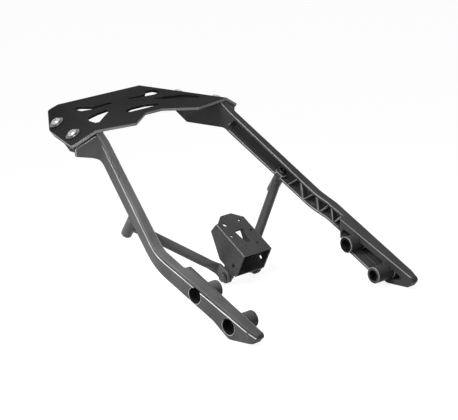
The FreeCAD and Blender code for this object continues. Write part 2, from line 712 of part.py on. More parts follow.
def bracket_bolts():
    """Hexagon bolts through the pressed tube ends and the bracket's lugs."""
    seat = box_point(BOX_W / 2 + TAB_T, LUG_A, LUG_B)
    reach = TAB_T + BOX_T + NUT_H + THREAD_RELIEF
    shank = rod(seat, RIGHT * -1, BOLT_D - 2 * THREAD_CLEARANCE, reach)
    return both(hexagon(seat, RIGHT, NUT_FLATS, HEX_HEAD_H).fuse(shank).removeSplitter())


def bracket_nuts():
    """Nuts inside the bracket's lugs."""
    seat = box_point(BOX_W / 2 - BOX_T, LUG_A, LUG_B)
    return both(hexagon(seat, RIGHT * -1, NUT_FLATS, NUT_H).cut(rod(seat, RIGHT * -1, BOLT_D, NUT_H)))


def box_bracket():
    """Folded box with an open front, a pointed rear edge, windows and two lugs."""
    half = BOX_W / 2
    tip = TAB_W / 2
    wall = [
        (0, 0, 0),
        (BOX_L, 0, 0),
        (BOX_L + BOX_FRONT_LEAN, -BOX_H, EDGE_ROUND),
        (LUG_A + tip, -BOX_H, EDGE_ROUND),
        (LUG_A + tip, -LUG_B - tip, tip * 0.98),
        (LUG_A - tip, -LUG_B - tip, tip * 0.98),
        (LUG_A - tip, -BOX_H, EDGE_ROUND),
        (BOX_BELLY_A, -BOX_H, BOX_ROUND),
        (-BOX_REAR_LEAN, -BOX_REAR_B, BOX_ROUND),
    ]
    body = side_prism(wall, -half, half)
    top_edges = [e for e in body.Edges if abs(e.CenterOfMass.z) < BOX_T / 4]
    body = body.makeFillet(BOX_BEND, [e for e in top_edges if abs(e.CenterOfMass.x) > half / 2])
    inside = BOX_W - 2 * BOX_T
    hollow = Part.makeBox(inside, 3 * FAR, BOX_H - 2 * BOX_T, Vector(-inside / 2, -FAR, -BOX_H + BOX_T))
    below = Part.makeBox(inside, 3 * FAR, FAR, Vector(-inside / 2, -FAR, -BOX_H - FAR))
    body = body.cut(hollow).cut(below)
    base = half - BOX_BEND
    apex = [(-base, 0, 0), (-APEX_HALF, -APEX_LENGTH, BOX_T), (APEX_HALF, -APEX_LENGTH, BOX_T), (base, 0, 0)]
    body = body.fuse(plan_prism(apex, -BOX_T, 0))
    opening = [
        (-TOP_WINDOW_REAR_HALF, TOP_WINDOW_REAR_A, EDGE_ROUND),
        (TOP_WINDOW_REAR_HALF, TOP_WINDOW_REAR_A, EDGE_ROUND),
        (TOP_WINDOW_FRONT_HALF, TOP_WINDOW_FRONT_A, EDGE_ROUND),
        (-TOP_WINDOW_FRONT_HALF, TOP_WINDOW_FRONT_A, EDGE_ROUND),
    ]
    body = body.cut(plan_prism(opening, -2 * BOX_T, BOX_T))
    holes = (
        (HOLE_REAR_X, HOLE_REAR_A, HOLE_REAR_D),
        (HOLE_SIDE_X, HOLE_SIDE_A, HOLE_SIDE_D),
        (HOLE_FRONT_X, HOLE_FRONT_A, HOLE_FRONT_D),
    )
    for x, a, d in holes:
        for s in (-x, x):
            body = body.cut(rod(Vector(s, a, BOX_T), UP * -1, d, 3 * BOX_T))
    body = body.cut(rod(Vector(-FAR, WALL_HOLE_A, -WALL_HOLE_B), RIGHT, WALL_HOLE_D, 2 * FAR))
    body = body.cut(rod(Vector(-FAR, LUG_A, -LUG_B), RIGHT, CLEAR_HOLE_D, 2 * FAR)).removeSplitter()
    body.Placement = FreeCAD.Placement(Vector(0, BOX_Y, BOX_Z), FreeCAD.Rotation(RIGHT, -BOX_TILT))
    return body


os.makedirs("parts", exist_ok=True)
arm = right_arm()
strut = right_strut()
pieces = {
    "carrier_plate": carrier_plate(),
    "plate_washers": plate_washers(),
    "plate_bolts": plate_bolts(),
    "right_arm": arm,
    "left_arm": mirrored(arm),
    "right_strut": strut,
    "left_strut": mirrored(strut),
    "strut_plugs": strut_plugs(),
    "strut_screws": strut_screws(),
    "bracket_bolts": bracket_bolts(),
    "bracket_nuts": bracket_nuts(),
    "box_bracket": box_bracket(),
}
for name, shape in pieces.items():
    shape.exportStep("parts/" + name + ".step")
    box = shape.BoundBox
    limits = [round(v, 1) for v in (box.XMin, box.XMax, box.YMin, box.YMax, box.ZMin, box.ZMax)]
    print(name, len(shape.Solids), "solids", shape.isValid(), round(shape.Volume / 1000, 1), "cm3", limits)
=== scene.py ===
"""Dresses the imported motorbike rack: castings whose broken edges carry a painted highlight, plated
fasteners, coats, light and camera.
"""
import logging
import math
from dataclasses import dataclass
from enum import Enum, IntEnum

import bmesh
import bpy
from mathutils import Matrix, Vector


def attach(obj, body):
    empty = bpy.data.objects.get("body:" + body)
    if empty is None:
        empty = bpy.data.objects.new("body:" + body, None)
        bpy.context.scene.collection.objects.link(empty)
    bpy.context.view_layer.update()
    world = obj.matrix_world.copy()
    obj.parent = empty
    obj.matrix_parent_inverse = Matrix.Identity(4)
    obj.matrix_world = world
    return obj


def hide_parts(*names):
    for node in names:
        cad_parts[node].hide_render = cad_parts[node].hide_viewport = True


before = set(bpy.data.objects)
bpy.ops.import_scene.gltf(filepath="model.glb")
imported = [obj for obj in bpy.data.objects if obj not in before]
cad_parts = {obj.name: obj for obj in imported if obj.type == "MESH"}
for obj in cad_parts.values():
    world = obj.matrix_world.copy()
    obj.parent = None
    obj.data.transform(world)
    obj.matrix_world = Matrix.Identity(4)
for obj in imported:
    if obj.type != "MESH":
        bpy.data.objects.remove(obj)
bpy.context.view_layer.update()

LOG = logging.getLogger("rack")
Color = tuple[float, float, float]
Point = tuple[float, float, float]
Pair = tuple[float, float]

# Merging and flattening of CAD meshes
MERGE_GAP = 1e-6
FLAT_ANGLE = math.radians(1.0)

# Material number with which a bevel keeps the finish of the faces beside it
SAME_FINISH = -1

# Least part of a normal along Z for a face that looks straight up or down
LEVEL_FACE = 0.99

# Noise of the finishes: scale, detail, and the values where tones and roughness reach their ends
CLOUD_SCALE = 22.0
CLOUD_DETAIL = 4.0
CLOUD_TONES = (0.35, 0.65)
CLOUD_SHEENS = (0.3, 0.7)
PEEL_DETAIL = 2.0
PEEL_STRENGTH = 0.5
MARK_DETAIL = 5.0
MARK_TONES = (0.3, 0.7)
MARK_SHEENS = (0.0, 1.0)


class Slot(Enum):
    """Material slots of the record."""

    CAST = "cast_black"
    SHEET = "sheet_black"
    TUBE = "tube_black"
    BOLT = "bolt_steel"
    WASHER = "washer_steel"
    HIDDEN = "hidden_steel"


class Side(Enum):
    """Sides of the rack, as a sign along X."""

    RIGHT = 1
    LEFT = -1


class Coat(IntEnum):
    """Places of the finishes on a piece with several."""

    FACE = 0
    # Broken edges: shinier, and lighter as a painted highlight
    EDGE = 1
    # Bores: near black, as painted shade inside them
    BORE = 2
    # Channel floor: darker, as painted shade in the recess
    CHANNEL = 3


@dataclass(frozen=True)
class Finish:
    """Two tones and a range of roughness that follow one noise.

    Args:
        name: Name of the material.
        dark: Darker tone.
        light: Lighter tone.
        gloss: Lowest and highest roughness.
    """

    name: str
    dark: Color
    light: Color
    gloss: Pair

    def mottle(self, scale: float, detail: float, tones: Pair, sheens: Pair) -> bpy.types.Material:
        """Builds the tones and the roughness.

        Args:
            scale: Scale of the noise.
            detail: Detail of the noise.
            tones: Noise values at which the darker and the lighter tone stand.
            sheens: Noise values at which the lowest and the highest roughness stand.

        Returns:
            The material, ready for more nodes.
        """
        made = bpy.data.materials.new(self.name)
        made.use_nodes = True
        nodes = made.node_tree.nodes
        links = made.node_tree.links
        shader = nodes["Principled BSDF"]
        place = nodes.new("ShaderNodeTexCoord")
        noise = nodes.new("ShaderNodeTexNoise")
        noise.inputs["Scale"].default_value = scale
        noise.inputs["Detail"].default_value = detail
        ramp = nodes.new("ShaderNodeValToRGB")
        for stop, position, tone in zip(ramp.color_ramp.elements, tones, (self.dark, self.light)):
            stop.position = position
            stop.color = (*tone, 1.0)
        sheen = nodes.new("ShaderNodeMapRange")
        sheen.inputs["From Min"].default_value = sheens[0]
        sheen.inputs["From Max"].default_value = sheens[1]
        sheen.inputs["To Min"].default_value = self.gloss[0]
        sheen.inputs["To Max"].default_value = self.gloss[1]
        links.new(place.outputs["Object"], noise.inputs["Vector"])
        links.new(noise.outputs["Fac"], ramp.inputs["Fac"])
        links.new(ramp.outputs["Color"], shader.inputs["Base Color"])
        links.new(noise.outputs["Fac"], sheen.inputs["Value"])
        links.new(sheen.outputs["Result"], shader.inputs["Roughness"])
        return made


@dataclass(frozen=True)
class PowderCoat(Finish):
    """Black powder coat: fine orange-peel grain and faint changes of tone and sheen.

    Args:
        name, dark, light, gloss: As in Finish.
        shine: Level of the mirror reflection.
        grain: Scale of the grain.
        depth: Height of the grain in metres.
    """

    shine: float
    grain: float
    depth: float

    def material(self) -> bpy.types.Material:
        """Builds the coat.

        Returns:
            The finished material.
        """
        made = self.mottle(CLOUD_SCALE, CLOUD_DETAIL, CLOUD_TONES, CLOUD_SHEENS)
        nodes = made.node_tree.nodes
        links = made.node_tree.links
        shader = nodes["Principled BSDF"]
        shader.inputs["Specular IOR Level"].default_value = self.shine
        peel = nodes.new("ShaderNodeTexNoise")
        peel.inputs["Scale"].default_value = self.grain
        peel.inputs["Detail"].default_value = PEEL_DETAIL
        bump = nodes.new("ShaderNodeBump")
        bump.inputs["Strength"].default_value = PEEL_STRENGTH
        bump.inputs["Distance"].default_value = self.depth
        links.new(nodes["Texture Coordinate"].outputs["Object"], peel.inputs["Vector"])
        links.new(peel.outputs["Fac"], bump.inputs["Height"])
        links.new(bump.outputs["Normal"], shader.inputs["Normal"])
        return made


@dataclass(frozen=True)
class PlatedSteel(Finish):
    """Bright or blackened steel with fine turning marks.

    Args:
        name, dark, light, gloss: As in Finish.
        marks: Scale of the marks.
    """

    marks: float

    def material(self) -> bpy.types.Material:
        """Builds the metal.

        Returns:
            The finished material.
        """
        made = self.mottle(self.marks, MARK_DETAIL, MARK_TONES, MARK_SHEENS)
        made.node_tree.nodes["Principled BSDF"].inputs["Metallic"].default_value = 1.0
        return made


CAST_COAT = PowderCoat(
    "cast coat", dark=(0.042, 0.042, 0.0432), light=(0.056, 0.056, 0.0573), gloss=(0.34, 0.42),
    shine=0.05, grain=900.0, depth=0.00012,
)
# Painted highlight: coat of the castings' broken edges, shinier and much lighter than the faces; the lighter
# tone stands in for light on the edges
CAST_HIGHLIGHT_COAT = PowderCoat(
    "cast edge highlight coat", dark=(0.17, 0.17, 0.172), light=(0.24, 0.24, 0.242), gloss=(0.3, 0.4),
    shine=0.5, grain=900.0, depth=0.0001,
)
# Painted shade: near-black coat for the walls and floors of the arms' bores, standing in for the shade inside
# them
BORE_SHADE_COAT = PowderCoat(
    "bore shade coat", dark=(0.006, 0.006, 0.0062), light=(0.01, 0.01, 0.0102), gloss=(0.5, 0.6),
    shine=0.05, grain=900.0, depth=0.00012,
)
# Painted shade: darker coat for the floor of the arms' channel, standing in for the shade in the recess
CHANNEL_SHADE_COAT = PowderCoat(
    "channel shade coat", dark=(0.018, 0.018, 0.0185), light=(0.028, 0.028, 0.0285), gloss=(0.5, 0.6),
    shine=0.05, grain=900.0, depth=0.0002,
)
PLATE_COAT = PowderCoat(
    "plate coat", dark=(0.0095, 0.0095, 0.0098), light=(0.014, 0.014, 0.0144), gloss=(0.5, 0.6),
    shine=0.015, grain=1100.0, depth=0.00014,
)
# Painted highlight: coat of the sheet parts' broken edges and of the plate's outer cut faces, shinier and much
# lighter than the faces; the lighter tone stands in for light on them
EDGE_HIGHLIGHT_COAT = PowderCoat(
    "edge coat", dark=(0.12, 0.12, 0.122), light=(0.16, 0.16, 0.162), gloss=(0.3, 0.4),
    shine=0.4, grain=900.0, depth=0.0001,
)
BOX_COAT = PowderCoat(
    "box coat", dark=(0.025, 0.025, 0.0257), light=(0.033, 0.033, 0.0337), gloss=(0.28, 0.36),
    shine=0.16, grain=1100.0, depth=0.00012,
)
TUBE_COAT = PowderCoat(
    "tube coat", dark=(0.044, 0.044, 0.045), light=(0.056, 0.056, 0.057), gloss=(0.28, 0.36),
    shine=0.2, grain=900.0, depth=0.00012,
)
BRIGHT_STEEL = PlatedSteel(
    "bright plated steel", dark=(0.4, 0.4, 0.41), light=(0.55, 0.55, 0.56), gloss=(0.16, 0.3), marks=260.0
)
WASHER_STEEL = PlatedSteel(
    "washer steel", dark=(0.11, 0.11, 0.115), light=(0.17, 0.17, 0.175), gloss=(0.22, 0.34), marks=320.0
)
BLACK_STEEL = PlatedSteel(
    "black oxide steel", dark=(0.05, 0.05, 0.05), light=(0.09, 0.09, 0.09), gloss=(0.34, 0.5), marks=300.0
)


@dataclass(frozen=True)
class EdgeBreak:
    """Form of a piece's broken edges and the shading that goes with it.

    Args:
        width: Width of a broken edge in metres.
        segments: Faces across a broken edge.
        bend: Least angle of an edge that is broken, in degrees.
        smooth: Greatest angle that is shaded smooth, in degrees.
    """

    width: float
    segments: int
    bend: float
    smooth: float


CAST_BREAK = EdgeBreak(width=0.0012, segments=2, bend=35.0, smooth=35.0)
PLATE_BREAK = EdgeBreak(width=0.0011, segments=3, bend=35.0, smooth=40.0)
BOX_BREAK = EdgeBreak(width=0.0006, segments=3, bend=35.0, smooth=40.0)
WASHER_BREAK = EdgeBreak(width=0.0003, segments=3, bend=40.0, smooth=40.0)
BOLT_BREAK = EdgeBreak(width=0.00015, segments=2, bend=50.0, smooth=35.0)
HARDWARE_BREAK = EdgeBreak(width=0.0004, segments=2, bend=40.0, smooth=35.0)


class Bench:
    """Small hand tools around the operators."""

    @staticmethod
    def pick(piece: bpy.types.Object) -> None:
        """Makes one object the only selected and active one."""
        if bpy.context.mode != "OBJECT":
            bpy.ops.object.mode_set(mode="OBJECT")
        bpy.ops.object.select_all(action="DESELECT")
        piece.select_set(True)
        bpy.context.view_layer.objects.active = piece

    @staticmethod
    def open_mesh(piece: bpy.types.Object) -> None:
        """Opens edit mode with everything selected."""
        Bench.pick(piece)
        bpy.ops.object.mode_set(mode="EDIT")
        bpy.ops.mesh.select_all(action="SELECT")

    @staticmethod
    def apply(piece: bpy.types.Object, kind: str, **settings: object) -> None:
        """Adds a modifier, sets it and applies it.

        Args:
            piece: Object that gets the modifier.
            kind: Type of the modifier.
            settings: Its values by name.
        """
        Bench.pick(piece)
        modifier = piece.modifiers.new(kind.lower(), kind)
        for key, value in settings.items():
            setattr(modifier, key, value)
        bpy.ops.object.modifier_apply(modifier=modifier.name)

    @staticmethod
    def break_edges(piece: bpy.types.Object, edges: EdgeBreak, coat: int = SAME_FINISH) -> None:
        """Bevels every edge that is sharper than an angle.

        Args:
            piece: Object whose edges are broken.
            edges: Form of the broken edges.
            coat: Place of the finish that the broken edges get.
        """
        Bench.apply(
            piece, "BEVEL", width=edges.width, segments=edges.segments, limit_method="ANGLE",
            angle_limit=math.radians(edges.bend), material=coat,
        )

    @staticmethod
    def shade(piece: bpy.types.Object, degrees: float) -> None:
        """Smooths the shading below an angle."""
        Bench.pick(piece)
        bpy.ops.object.shade_smooth_by_angle(angle=math.radians(degrees))

    @staticmethod
    def copy_node(node: str, name: str) -> bpy.types.Object:
        """Copies a CAD node into a mesh of its own with its points merged.

        Args:
            node: Name of the CAD node.
            name: Name of the new piece.

        Returns:
            The copy, free of any parent.
        """
        piece = bpy.data.objects.new(name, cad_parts[node].data.copy())
        bpy.context.scene.collection.objects.link(piece)
        Bench.open_mesh(piece)
        bpy.ops.mesh.remove_doubles(threshold=MERGE_GAP)
        bpy.ops.mesh.normals_make_consistent(inside=False)
        bpy.ops.object.mode_set(mode="OBJECT")
        return piece

    @staticmethod
    def flatten(piece: bpy.types.Object) -> None:
        """Joins the triangles of each flat face."""
        Bench.open_mesh(piece)
        bpy.ops.mesh.dissolve_limited(angle_limit=FLAT_ANGLE)
        bpy.ops.object.mode_set(mode="OBJECT")

    @staticmethod
    def paint(piece: bpy.types.Object, *finishes: bpy.types.Material) -> None:
        """Gives a piece its finishes, the first of them all over."""
        piece.data.materials.clear()
        for finish in finishes:
            piece.data.materials.append(finish)

    @staticmethod
    def hand_over(piece: bpy.types.Object, slot: Slot, *nodes: str) -> bpy.types.Object:
        """Gives a piece its body and hides the CAD nodes that it stands for.

        Args:
            piece: Finished object.
            slot: Material slot of the record; not used.
            nodes: CAD nodes that it stands for.

        Returns:
            The same object.
        """
        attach(piece, "root")
        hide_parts(*nodes)
        LOG.info("%s: %d faces", piece.name, len(piece.data.polygons))
        return piece


@dataclass
class Casting:
    """Cast arm whose broken outer edges carry a painted highlight, lighter than its faces, in metres.

    Args:
        side: Side of the rack.
        finishes: Materials in the order of Coat.
        edges: Form of the broken edges.
        least: Shortest edge that is broken.
        highlight_rise: Least rise of the normal of an edge that keeps the painted highlight.
        trim_point: Point on the slope that ends the head.
        trim_normal: Way that the slope faces.
        bores: Y and Z of the axes of the frame bosses.
        outer_bore: Radius and greatest floor area of a counterbore.
        inner_bore: Radius and greatest floor area of a recess in a boss's end.
        floor_facing: Least outward part of the normal of a counterbore's floor.
        wall_facing: Least part of the normal of a bore's wall that points at the axis.
        plan: Y and X of the corners of the outer face in plan.
        channel_facing: Least inward part of the normal of the channel's floor.
        channel_depth: Greatest depth of the channel's floor behind the outer face.
    """

    side: Side
    finishes: tuple[bpy.types.Material, ...]
    edges: EdgeBreak = CAST_BREAK
    least: float = 0.0012
    highlight_rise: float = -0.3
    trim_point: Point = (0.0, -0.015, -0.049)
    trim_normal: Point = (0.0, -0.493, -0.870)
    bores: tuple[Pair, ...] = ((0.403, -0.2095), (0.337, -0.1801))
    outer_bore: Pair = (0.0117, 0.00036)
    inner_bore: Pair = (0.0085, 0.0002)
    floor_facing: float = 0.9
    wall_facing: float = 0.8
    plan: tuple[Pair, ...] = ((0.084, 0.131), (0.262, 0.1755), (0.440, 0.164))
    channel_facing: float = 0.7
    channel_depth: float = 0.007

    def build(self) -> bpy.types.Object:
        """Models the arm.

        Returns:
            The finished arm.
        """
        node = f"{self.side.name.lower()}_arm"
        piece = Bench.copy_node(node, f"{node}_casting")
        self.trim_head(piece)
        Bench.paint(piece, *self.finishes)
        self.break_outer_edges(piece)
        self.clear_lower_highlight(piece)
        self.shade_channel(piece)
        self.shade_bores(piece)
        Bench.shade(piece, self.edges.smooth)
        Bench.apply(piece, "WEIGHTED_NORMAL", keep_sharp=True)
        return Bench.hand_over(piece, Slot.CAST, node)

    def trim_head(self, piece: bpy.types.Object) -> None:
        """Ends the head on a slope behind the plate's flap."""
        Bench.open_mesh(piece)
        bpy.ops.mesh.bisect(
            plane_co=self.trim_point, plane_no=self.trim_normal, use_fill=True, clear_outer=True
        )
        bpy.ops.object.mode_set(mode="OBJECT")

    def break_outer_edges(self, piece: bpy.types.Object) -> None:
        """Joins flat faces, bevels the sharp outer edges but no inner corners, and clears loose points."""
        Bench.pick(piece)
        bpy.ops.object.mode_set(mode="EDIT")
        bpy.ops.mesh.select_mode(type="EDGE")
        bpy.ops.mesh.select_all(action="SELECT")
        bpy.ops.mesh.dissolve_limited(angle_limit=FLAT_ANGLE)
        form = bmesh.from_edit_mesh(piece.data)
        for edge in form.edges:
            sharp = edge.calc_face_angle_signed(0.0) > math.radians(self.edges.bend)
            edge.select_set(sharp and edge.calc_length() > self.least)
        bmesh.update_edit_mesh(piece.data)
        # The bevelled edges get the painted highlight finish
        bpy.ops.mesh.bevel(
            offset=self.edges.width, segments=self.edges.segments, affect="EDGES",
            material=Coat.EDGE, clamp_overlap=False,
        )
        bpy.ops.mesh.select_all(action="SELECT")
        bpy.ops.mesh.delete_loose(use_verts=True, use_edges=True, use_faces=False)
        bpy.ops.object.mode_set(mode="OBJECT")

    def clear_lower_highlight(self, piece: bpy.types.Object) -> None:
        """Takes the painted highlight off the edges that look down, so that only edges facing up or sideways
        stay lighter.
        """
        for face in piece.data.polygons:
            if face.normal.z < self.highlight_rise:
                face.material_index = Coat.FACE

    def shade_channel(self, piece: bpy.types.Object) -> None:
        """Paints shade on the channel's floor with a darker finish."""
        for face in piece.data.polygons:
            inward = face.normal.x * self.side.value < -self.channel_facing
            for (rear_y, rear_x), (front_y, front_x) in zip(self.plan, self.plan[1:]):
                if inward and rear_y < face.center.y < front_y:
                    share = (face.center.y - rear_y) / (front_y - rear_y)
                    outer = rear_x + (front_x - rear_x) * share
                    if outer - abs(face.center.x) < self.channel_depth:
                        face.material_index = Coat.CHANNEL

    def shade_bores(self, piece: bpy.types.Object) -> None:
        """Paints shade on the walls and floors of the bores with a near-black finish."""
        for face in piece.data.polygons:
            outward = face.normal.x * self.side.value > self.floor_facing
            radius, area = self.outer_bore if outward else self.inner_bore
            for y, z in self.bores:
                gap = Vector((0.0, y - face.center.y, z - face.center.z))
                facing = face.normal.dot(gap) > self.wall_facing * gap.length
                wall = facing and gap.length < self.outer_bore[0]
                if wall or (gap.length < radius and face.area < area):
                    face.material_index = Coat.BORE


@dataclass
class Tube:
    """Strut with a pressed end, its joints softened as by welding and coating.

    Args:
        side: Side of the rack.
        finish: Material of the coat.
        grid: Size of the remeshing grid in metres.
        rounds: Smoothing passes.
        ease: Strength of a smoothing pass.
        keep: Share of the faces that stays.
        smooth: Greatest angle that is shaded smooth, in degrees.
    """

    side: Side
    finish: bpy.types.Material
    grid: float = 0.0007
    rounds: int = 6
    ease: float = 0.5
    keep: float = 0.5
    smooth: float = 60.0

    def build(self) -> bpy.types.Object:
        """Models the strut.

        Returns:
            The finished strut.
        """
        node = f"{self.side.name.lower()}_strut"
        piece = Bench.copy_node(node, f"{node}_tube")
        Bench.apply(piece, "REMESH", mode="VOXEL", voxel_size=self.grid)
        Bench.apply(piece, "SMOOTH", factor=self.ease, iterations=self.rounds)
        Bench.apply(piece, "DECIMATE", ratio=self.keep)
        Bench.shade(piece, self.smooth)
        Bench.paint(piece, self.finish)
        return Bench.hand_over(piece, Slot.TUBE, node)


@dataclass
class SheetPart:
    """Part cut and folded from sheet, with broken edges that shine more than its faces and carry a painted
    highlight.

    Args:
        node: CAD node that it stands for.
        finish: Material of the faces.
        edge_highlight_finish: Material of the broken edges and of the outer cut faces, lighter than the faces
            as a painted highlight.
        edges: Form of the broken edges.
        rim: Cut faces of the outer contour that rise less than this get the painted highlight, or 0 for none.
        front: Least Y of the cut faces along the front contour.
        low: Greatest Z of the cut faces along the flaps' lower edges.
    """

    node: str
    finish: bpy.types.Material
    edge_highlight_finish: bpy.types.Material
    edges: EdgeBreak
    rim: float = 0.0
    front: float = 0.0
    low: float = 0.0

    def build(self) -> bpy.types.Object:
        """Models the part.

        Returns:
            The finished part.
        """
        piece = Bench.copy_node(self.node, f"{self.node}_sheet")
        Bench.flatten(piece)
        Bench.paint(piece, self.finish, self.edge_highlight_finish)
        # The bevelled edges get the painted highlight finish
        Bench.break_edges(piece, self.edges, Coat.EDGE)
        self.highlight_rim(piece)
        Bench.shade(piece, self.edges.smooth)
        Bench.apply(piece, "WEIGHTED_NORMAL", keep_sharp=True)
        return Bench.hand_over(piece, Slot.SHEET, self.node)

    def highlight_rim(self, piece: bpy.types.Object) -> None:
        """Paints a highlight on the cut faces along the front and lower outer contour with the finish of the
        edges; those of the windows stay dark.
        """
        for face in piece.data.polygons:
            outline = face.center.y > self.front or face.center.z < self.low
            if outline and abs(face.normal.z) < self.rim:
                face.material_index = Coat.EDGE


@dataclass
class PlateFasteners:
    """Button-head bolts and large washers on the plate's flaps, in metres.

    Args:
        bolt_finish: Material of the bolts.
        washer_finish: Material of the washers.
        spots: Places of the bolts along the right fold and down its flap.
        fold_rear: X and Y of the right fold's rear end.
        fold_front: X and Y of the right fold's front end.
        fall: Fall of the flap in radians.
        washer: Outer radius, hole radius and thickness of a washer.
        head: Radius and height of a bolt head.
        dome: Share of the head's height that is rounded.
        dome_segments: Faces across the rounding of the head.
        dome_profile: Form of the rounding, 0.5 for part of a circle.
        shank: Radius and length of a shank.
        socket: Radius and depth of the hexagon socket.
        socket_sides: Corners of the socket.
        sides: Corners of a circle.
    """

    bolt_finish: bpy.types.Material
    washer_finish: bpy.types.Material
    spots: tuple[Pair, ...] = ((0.0605, 0.0268), (0.134, 0.0268))
    fold_rear: Pair = (0.082, -0.095)
    fold_front: Pair = (0.130, 0.068)
    fall: float = math.radians(28.0)
    washer: Point = (0.012, 0.0045, 0.002)
    head: Pair = (0.0075, 0.0046)
    dome: float = 0.8
    dome_segments: int = 9
    dome_profile: float = 0.5
    shank: Pair = (0.0039, 0.018)
    socket: Pair = (0.00289, 0.0026)
    socket_sides: int = 6
    sides: int = 72

    def build(self) -> list[bpy.types.Object]:
        """Models one bolt and one washer and sets copies of them on both flaps.

        Returns:
            The joined washers and the joined bolts.
        """
        washers = self.spread(self.model_washer(), 0.0, "washers")
        bolts = self.spread(self.model_bolt(), self.washer[2], "bolts")
        Bench.paint(washers, self.washer_finish)
        Bench.paint(bolts, self.bolt_finish)
        return [
            Bench.hand_over(washers, Slot.WASHER, "plate_washers"),
            Bench.hand_over(bolts, Slot.BOLT, "plate_bolts"),
        ]

    def model_washer(self) -> bpy.types.Object:
        """Flat ring with rounded edges, its underside at the origin."""
        outer, hole, thickness = self.washer
        bpy.ops.object.select_all(action="DESELECT")
        bpy.ops.mesh.primitive_circle_add(vertices=self.sides, radius=outer, fill_type="NGON")
        ring = bpy.context.object
        Bench.open_mesh(ring)
        bpy.ops.mesh.inset(thickness=outer - hole)
        bpy.ops.mesh.delete(type="FACE")
        bpy.ops.mesh.select_all(action="SELECT")
        bpy.ops.mesh.extrude_region_move(TRANSFORM_OT_translate={"value": (0.0, 0.0, thickness)})
        bpy.ops.mesh.select_all(action="SELECT")
        bpy.ops.mesh.normals_make_consistent(inside=False)
        bpy.ops.object.mode_set(mode="OBJECT")
        Bench.break_edges(ring, WASHER_BREAK)
        Bench.shade(ring, WASHER_BREAK.smooth)
        return ring

    def model_bolt(self) -> bpy.types.Object:
        """Domed head with a hexagon socket and a shank, the head's seat at the origin."""
        radius, height = self.head
        shank_radius, shank_length = self.shank
        bpy.ops.object.select_all(action="DESELECT")
        bpy.ops.mesh.primitive_cylinder_add(
            vertices=self.sides, radius=radius, depth=height, location=(0.0, 0.0, height / 2)
        )
        bolt = bpy.context.object
        bpy.ops.object.transform_apply(location=True, rotation=True, scale=True)
        self.select_end(bolt, 1.0)
        bpy.ops.mesh.bevel(
            offset=height * self.dome, segments=self.dome_segments, profile=self.dome_profile, affect="EDGES"
        )
        bpy.ops.object.mode_set(mode="OBJECT")
        self.select_end(bolt, -1.0)
        bpy.ops.mesh.inset(thickness=radius - shank_radius)
        bpy.ops.mesh.extrude_region_move(TRANSFORM_OT_translate={"value": (0.0, 0.0, -shank_length)})
        bpy.ops.object.mode_set(mode="OBJECT")
        self.cut_socket(bolt)
        Bench.break_edges(bolt, BOLT_BREAK)
        Bench.shade(bolt, BOLT_BREAK.smooth)
        return bolt

    @staticmethod
    def select_end(piece: bpy.types.Object, way: float) -> None:
        """Opens edit mode with the faces that look straight up (1) or down (-1) selected."""
        Bench.pick(piece)
        bpy.ops.object.mode_set(mode="EDIT")
        bpy.ops.mesh.select_mode(type="FACE")
        bpy.ops.mesh.select_all(action="DESELECT")
        bpy.ops.object.mode_set(mode="OBJECT")
        for face in piece.data.polygons:
            face.select = face.normal.z * way > LEVEL_FACE
        bpy.ops.object.mode_set(mode="EDIT")

    def cut_socket(self, bolt: bpy.types.Object) -> None:
        """Cuts the hexagon socket into the head."""
        radius, depth = self.socket
        bpy.ops.object.select_all(action="DESELECT")
        bpy.ops.mesh.primitive_cylinder_add(
            vertices=self.socket_sides, radius=radius, depth=2 * depth, location=(0.0, 0.0, self.head[1])
        )
        cutter = bpy.context.object
        Bench.apply(bolt, "BOOLEAN", operation="DIFFERENCE", object=cutter)
        bpy.data.objects.remove(cutter)

    def spread(self, pattern: bpy.types.Object, lift: float, name: str) -> bpy.types.Object:
        """Sets copies of a pattern on the bolt spots of both flaps and joins them.

        Args:
            pattern: Piece modelled at the origin.
            lift: Height of its seat above the flap.
            name: Name of the joined piece.

        Returns:
            One object with every copy.
        """
        copies = []
        for side in Side:
            for along, down in self.spots:
                copies.append(self.place(pattern, side, along, down, lift))
        bpy.data.objects.remove(pattern)
        Bench.pick(copies[0])
        for other in copies[1:]:
            other.select_set(True)
        bpy.ops.object.join()
        joined = bpy.context.object
        joined.name = name
        return joined

    def place(
        self, pattern: bpy.types.Object, side: Side, along: float, down: float, lift: float
    ) -> bpy.types.Object:
        """Copies a pattern onto one spot, with its mesh in the rack's frame.

        Args:
            pattern: Piece modelled at the origin.
            side: Flap that it goes to.
            along: Distance along the fold from its rear end.
            down: Distance down the flap from the fold.
            lift: Height of its seat above the flap.

        Returns:
            The placed copy.
        """
        mirror = Vector((side.value, 1.0, 1.0))
        rear = Vector((*self.fold_rear, 0.0)) * mirror
        fold = (Vector((*self.fold_front, 0.0)) * mirror - rear).normalized()
        out = Vector((fold.y, -fold.x, 0.0)) * side.value
        slope = out * math.cos(self.fall) - Vector((0.0, 0.0, math.sin(self.fall)))
        normal = out * math.sin(self.fall) + Vector((0.0, 0.0, math.cos(self.fall)))
        seat = rear + fold * along + slope * down + normal * lift
        turn = Matrix((normal.cross(slope), -slope, normal)).transposed().to_4x4()
        copy = bpy.data.objects.new(pattern.name, pattern.data.copy())
        bpy.context.scene.collection.objects.link(copy)
        copy.matrix_world = Matrix.Translation(seat) @ turn
        Bench.pick(copy)
        bpy.ops.object.transform_apply(location=True, rotation=True, scale=True)
        return copy


